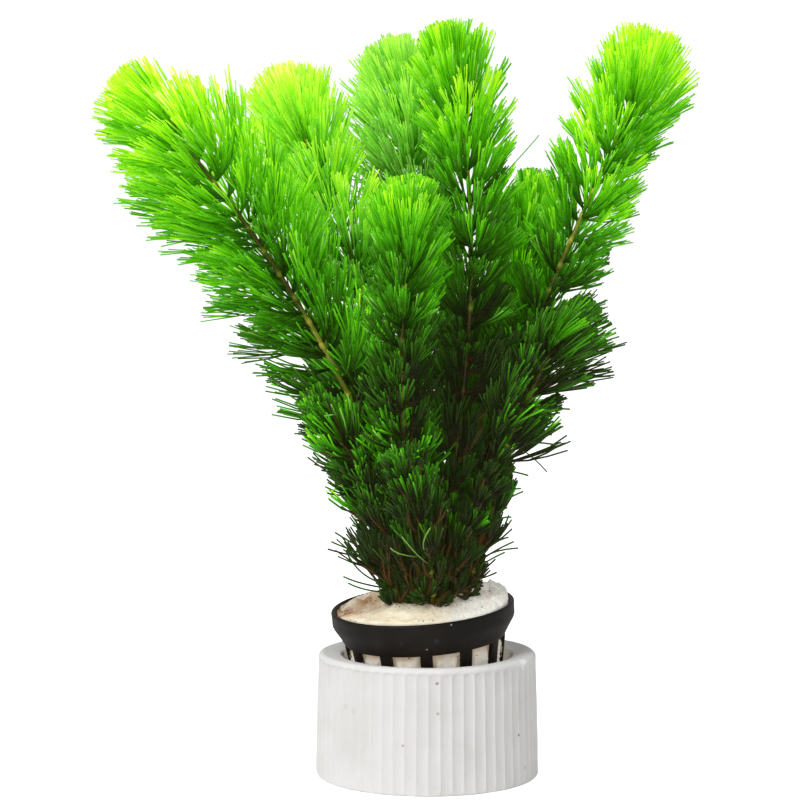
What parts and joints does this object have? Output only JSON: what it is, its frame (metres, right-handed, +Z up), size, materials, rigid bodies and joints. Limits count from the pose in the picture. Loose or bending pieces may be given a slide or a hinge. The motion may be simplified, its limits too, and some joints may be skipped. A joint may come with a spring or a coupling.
{
  "type": "cabomba",
  "caption": "Bunch of feathery green cabomba cuttings in a black net pot with mineral wool, standing in a round fluted white clay holder",
  "frame": {"origin": "centre of the holder's underside", "axes": "+Z up along the holder's axis; -Y towards the picture's viewer; +X to the viewer's right"},
  "size_m": [0.1653, 0.0999, 0.2079],
  "materials": {
    "clay": "matte",
    "pot_plastic": "satin",
    "wool": "matte",
    "leaves_bright": "satin",
    "leaves_middle": "satin",
    "leaves_dark": "satin"
  },
  "bodies": {
    "root": {"holder": "clay", "low_back_left_stem": "leaves_middle", "low_back_left_whorl_1": "leaves_dark", "low_back_left_whorl_2": "leaves_dark", "low_back_stem": "leaves_middle", "low_back_whorl_1": "leaves_middle", "low_back_whorl_2": "leaves_dark", "low_front_stem": "leaves_dark", "low_front_whorl_1": "leaves_dark", "low_front_whorl_2": "leaves_dark", "low_left_stem": "leaves_dark", "low_left_whorl_1": "leaves_dark", "low_left_whorl_2": "leaves_dark", "low_left_whorl_3": "leaves_dark", "low_right_stem": "leaves_dark", "low_right_whorl_1": "leaves_dark", "low_right_whorl_2": "leaves_dark", "middle_back_right_stem": "leaves_bright", "middle_back_right_whorl_1": "leaves_middle", "middle_back_right_whorl_2": "leaves_middle", "middle_front_stem": "leaves_bright", "middle_front_whorl_1": "leaves_middle", "middle_front_whorl_2": "leaves_middle", "middle_front_whorl_3": "leaves_dark", "middle_front_whorl_4": "leaves_dark", "middle_right_stem": "leaves_middle", "middle_right_whorl_1": "leaves_dark", "middle_right_whorl_2": "leaves_dark", "middle_right_whorl_3": "leaves_dark", "net_pot": "pot_plastic", "tall_back_left_stem": "leaves_bright", "tall_back_left_whorl_1": "leaves_bright", "tall_back_left_whorl_2": "leaves_bright", "tall_back_left_whorl_3": "leaves_middle", "tall_back_left_whorl_4": "leaves_middle", "tall_back_stem": "leaves_bright", "tall_back_whorl_1": "leaves_bright", "tall_back_whorl_2": "leaves_bright", "tall_back_whorl_3": "leaves_middle", "tall_back_whorl_4": "leaves_middle", "tall_centre_stem": "leaves_bright", "tall_centre_whorl_1": "leaves_bright", "tall_centre_whorl_2": "leaves_bright", "tall_centre_whorl_3": "leaves_middle", "tall_centre_whorl_4": "leaves_middle", "tall_centre_whorl_5": "leaves_dark", "tall_centre_whorl_6": "leaves_dark", "tall_left_stem": "leaves_bright", "tall_left_whorl_1": "leaves_bright", "tall_left_whorl_2": "leaves_bright", "tall_left_whorl_3": "leaves_middle", "tall_left_whorl_4": "leaves_middle", "tall_left_whorl_5": "leaves_middle", "tall_right_stem": "leaves_bright", "tall_right_whorl_1": "leaves_bright", "tall_right_whorl_2": "leaves_bright", "tall_right_whorl_3": "leaves_bright", "tall_right_whorl_4": "leaves_middle", "tall_right_whorl_5": "leaves_middle", "wool": "wool"}
  },
  "joints": []
}
